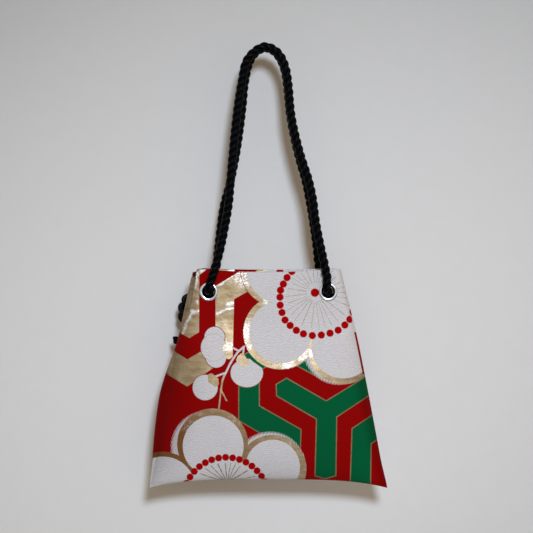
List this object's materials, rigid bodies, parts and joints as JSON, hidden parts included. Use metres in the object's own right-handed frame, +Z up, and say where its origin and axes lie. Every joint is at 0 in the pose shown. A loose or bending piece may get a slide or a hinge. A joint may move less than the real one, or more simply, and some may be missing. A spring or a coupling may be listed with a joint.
{
  "type": "rope-handled cloth handbag",
  "caption": "Trapezoid handbag of woven sash brocade, lined and stiffened, with chromed eyelets and a black twisted rope that makes both carrying loops and is knotted behind the bag.",
  "frame": {"origin": "the point inside the top of the rope loops where a hook carries the bag", "axes": "+Z up, +X to the right of someone who faces the front, -Y out of the front panel"},
  "size_m": [0.2852, 0.0779, 0.5305],
  "materials": {
    "brocade": "woven red, green, white and gold sash brocade",
    "interlining": "stiff unbleached interlining",
    "lining": "plain dark red lining cloth",
    "chrome": "polished chrome",
    "rope": "black twisted rope with a satin sheen"
  },
  "bodies": {
    "back_half": {"back_panel": "brocade", "back_facing": "brocade", "back_interlining": "interlining", "back_lining": "lining", "eyelet_back_left": "chrome", "eyelet_back_right": "chrome", "eyelet_washer_back_left": "chrome", "eyelet_washer_back_right": "chrome", "rope_inside_back_left": "rope", "rope_inside_back_right": "rope"},
    "front_half": {"front_panel": "brocade", "front_facing": "brocade", "front_interlining": "interlining", "front_lining": "lining", "eyelet_front_left": "chrome", "eyelet_front_right": "chrome", "eyelet_washer_front_left": "chrome", "eyelet_washer_front_right": "chrome", "rope_inside_front_left": "rope", "rope_inside_front_right": "rope"},
    "front_loop": {"front_handle": "rope"},
    "back_loop": {"back_handle": "rope"},
    "knot": {"rope_knot": "rope", "rope_end_long": "rope", "rope_end_short": "rope"}
  },
  "joints": [
    {"name": "mouth_open", "type": "hinge", "parent": "back_half", "child": "front_half", "pos_m": [0, 0, -0.5232], "axis": [1, 0, 0], "range_deg": [0, 12]},
    {"name": "front_loop_fold", "type": "hinge", "parent": "front_half", "child": "front_loop", "pos_m": [0, -0.02035, -0.2875], "axis": [1, 0, 0], "range_deg": [0, 170]},
    {"name": "back_loop_fold", "type": "hinge", "parent": "back_half", "child": "back_loop", "pos_m": [0, 0.03035, -0.2875], "axis": [-1, 0, 0], "range_deg": [0, 170]},
    {"name": "knot_swing", "type": "hinge", "parent": "back_half", "child": "knot", "pos_m": [0, 0.03035, -0.2875], "axis": [1, 0, 0], "range_deg": [0, 45]}
  ]
}
